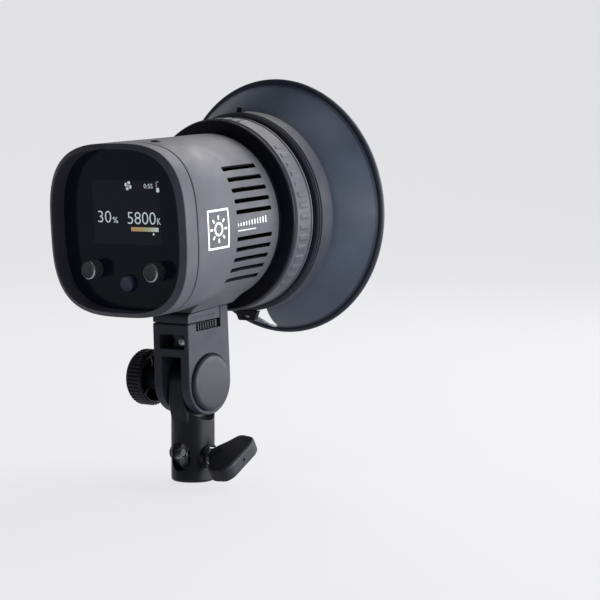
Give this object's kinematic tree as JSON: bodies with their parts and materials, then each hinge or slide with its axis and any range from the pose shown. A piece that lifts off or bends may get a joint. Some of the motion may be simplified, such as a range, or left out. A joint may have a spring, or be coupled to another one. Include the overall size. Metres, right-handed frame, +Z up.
{
  "type": "led monolight",
  "caption": "Compact battery LED studio light with rear control panel, bayonet umbrella reflector, tilting yoke with knob, and a spigot stand adaptor with clamp handle.",
  "frame": {"origin": "centre of the stand socket mouth, at the bottom of the stand adaptor", "axes": "+Z up along the stand spigot; +Y the way the light points (the head is drawn 4 degrees nose-up); +X to the right seen from behind, the side with the clamp handle"},
  "size_m": [0.1828, 0.1897, 0.2768],
  "materials": {
    "shell": "satin dark grey, finely textured polycarbonate",
    "panel": "gloss black control fascia",
    "display_glass": "gloss black display window",
    "dark_plastic": "finely textured dark grey plastic",
    "yoke_plastic": "satin dark grey glass-filled nylon",
    "black_plastic": "black textured plastic",
    "knob_plastic": "black knurled knob",
    "button": "blue grey translucent button",
    "dish": "blue grey satin painted spun aluminium",
    "aluminium": "machined, satin",
    "steel": "plated steel",
    "dark_steel": "blackened steel",
    "brass": "turned brass",
    "rubber": "matt black rubber",
    "board": "green solder mask",
    "battery": "blue heat-shrink wrap",
    "emitter": "yellow phosphor",
    "frosted_glass": "frosted diffusing glass"
  },
  "bodies": {
    "adaptor": {"stand_adaptor": "black_plastic", "friction_washer_left": "rubber", "friction_washer_right": "rubber", "stop_pin": "dark_steel"},
    "clamp": {"clamp_screw": "steel", "clamp_handle": "black_plastic", "clamp_pad": "brass"},
    "head": {"main_shell": "shell", "rear_bezel": "shell", "control_panel": "panel", "display_window": "display_glass", "display_module": "steel", "control_board": "board", "brightness_encoder": "black_plastic", "colour_encoder": "black_plastic", "menu_switch": "black_plastic", "chassis": "black_plastic", "battery_pack": "battery", "driver_board": "board", "fan_frame": "black_plastic", "heat_sink": "aluminium", "charge_port": "steel", "led_board": "aluminium", "led_emitter": "emitter", "light_cone": "aluminium", "glass_retainer": "black_plastic", "front_glass": "frosted_glass", "front_flange": "dark_plastic", "bayonet_mount": "aluminium", "quick_release_plate": "yoke_plastic", "plate_screw_rear": "steel", "plate_screw_front": "steel", "yoke": "yoke_plastic", "yoke_screw": "steel", "tilt_bolt": "steel", "pivot_cap": "dark_plastic"},
    "tilt_knob": {"tilt_knob": "black_plastic", "knob_nut": "steel"},
    "release_latch": {"release_latch": "black_plastic"},
    "brightness_press": {"brightness_plunger": "steel"},
    "brightness_knob": {"brightness_shaft": "steel", "brightness_knob": "knob_plastic"},
    "colour_press": {"colour_plunger": "steel"},
    "colour_knob": {"colour_shaft": "steel", "colour_knob": "knob_plastic"},
    "menu_button": {"menu_button": "button"},
    "lock_ring": {"lock_ring": "dark_plastic"},
    "reflector": {"reflector_dish": "dish", "reflector_collar": "dark_plastic", "index_block": "dark_plastic", "umbrella_tab": "dark_plastic"},
    "fan": {"fan_rotor": "black_plastic"},
    "port_cover": {"port_cover": "rubber"}
  },
  "joints": [
    {"name": "head_tilt", "type": "hinge", "parent": "adaptor", "child": "head", "pos_m": [0, 0, 0.0685], "axis": [1, 0, 0], "range_deg": [-84, 80]},
    {"name": "tilt_knob_turn", "type": "hinge", "parent": "head", "child": "tilt_knob", "pos_m": [-0.03, 0, 0.0685], "axis": [1, 0, 0], "range_deg": [-540, 0]},
    {"name": "clamp_turn", "type": "hinge", "parent": "adaptor", "child": "clamp", "pos_m": [0.03, 0, 0.0179], "axis": [1, 0, 0], "range_deg": [0, 540]},
    {"name": "brightness_push", "type": "slide", "parent": "head", "child": "brightness_press", "axis": [0, 0.9976, 0.0698], "range_m": [0, 0.0005], "stiffness_N_per_m": 1500, "springref_m": -0.0005},
    {"name": "brightness_turn", "type": "hinge", "parent": "brightness_press", "child": "brightness_knob", "pos_m": [-0.027, -0.07065, 0.14706], "axis": [0, 0.9976, 0.0698], "continuous": true},
    {"name": "colour_push", "type": "slide", "parent": "head", "child": "colour_press", "axis": [0, 0.9976, 0.0698], "range_m": [0, 0.0005], "stiffness_N_per_m": 1500, "springref_m": -0.0005},
    {"name": "colour_turn", "type": "hinge", "parent": "colour_press", "child": "colour_knob", "pos_m": [0.027, -0.07065, 0.14706], "axis": [0, 0.9976, 0.0698], "continuous": true},
    {"name": "menu_push", "type": "slide", "parent": "head", "child": "menu_button", "axis": [0, 0.9976, 0.0698], "range_m": [0, 0.0008], "stiffness_N_per_m": 1500, "springref_m": -0.0005},
    {"name": "lock_ring_turn", "type": "hinge", "parent": "head", "child": "lock_ring", "pos_m": [0, 0.03921, 0.18151], "axis": [0, 0.9976, 0.0698], "range_deg": [0, 28]},
    {"name": "reflector_slide", "type": "slide", "parent": "head", "child": "reflector", "axis": [0, 0.9976, 0.0698], "range_m": [0, 0.06]},
    {"name": "fan_spin", "type": "hinge", "parent": "head", "child": "fan", "pos_m": [0, -0.02264, 0.17719], "axis": [0, 0.9976, 0.0698], "continuous": true},
    {"name": "port_cover_flap", "type": "hinge", "parent": "head", "child": "port_cover", "pos_m": [-0.0588, -0.037, 0.17618], "axis": [0, -0.0698, 0.9976], "range_deg": [-110, 0]},
    {"name": "latch_slide", "type": "slide", "parent": "head", "child": "release_latch", "axis": [0, 0.9976, 0.0698], "range_m": [0, 0.003], "stiffness_N_per_m": 900, "springref_m": -0.001}
  ]
}
